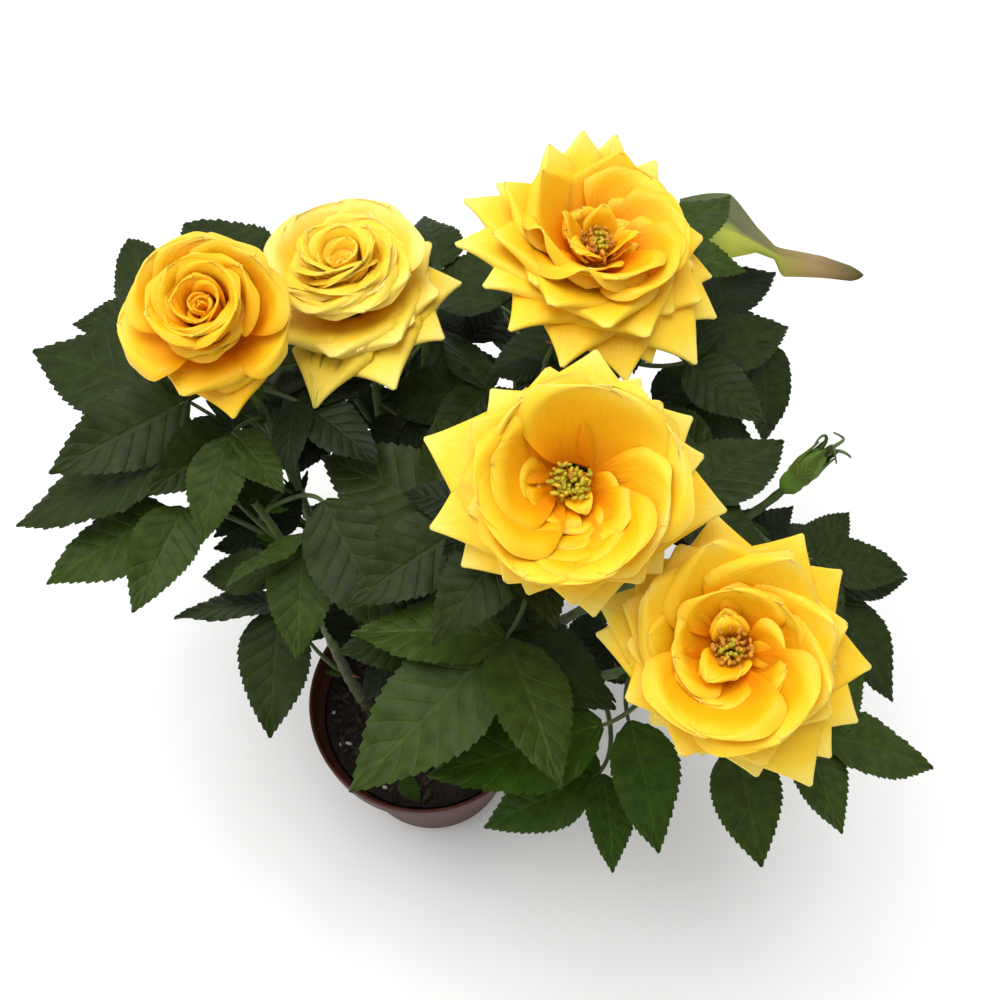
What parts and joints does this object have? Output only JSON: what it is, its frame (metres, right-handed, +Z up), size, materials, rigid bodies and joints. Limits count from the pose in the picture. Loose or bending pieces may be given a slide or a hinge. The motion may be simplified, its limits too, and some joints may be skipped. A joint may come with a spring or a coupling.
{
  "type": "potted rose bush",
  "caption": "Small rose bush in a plastic nursery pot, with open yellow blooms over dark green serrated leaves.",
  "frame": {"origin": "centre of the pot's flat underside", "axes": "+Z up, +X to the right and +Y to the back as the plant is seen from the side with the low open blooms"},
  "size_m": [0.2854, 0.2437, 0.2793],
  "materials": {
    "pot": "satin moulded plastic",
    "soil": "loose potting mix",
    "cane": "smooth green bark",
    "leaf": "semi-matt leaf",
    "petal": "velvety petal",
    "bud": "semi-matt sepal"
  },
  "bodies": {
    "root": {"pot": "pot", "soil": "soil", "cane_west": "cane", "cane_north_west": "cane", "cane_north_east": "cane", "cane_centre": "cane", "cane_south_east": "cane", "cane_east": "cane", "cane_far_west": "cane", "cane_south": "cane", "cane_back": "cane", "cane_back_east": "cane", "bloom_west": "petal", "bloom_north_west": "petal", "bloom_north_east": "petal", "bloom_centre": "petal", "bloom_south_east": "petal", "bud_east": "bud", "foliage_west": "leaf", "foliage_north_west": "leaf", "foliage_north_east": "leaf", "foliage_centre": "leaf", "foliage_south_east": "leaf", "foliage_east": "leaf", "foliage_far_west": "leaf", "foliage_south": "leaf", "foliage_back": "leaf", "foliage_back_east": "leaf"}
  },
  "joints": []
}
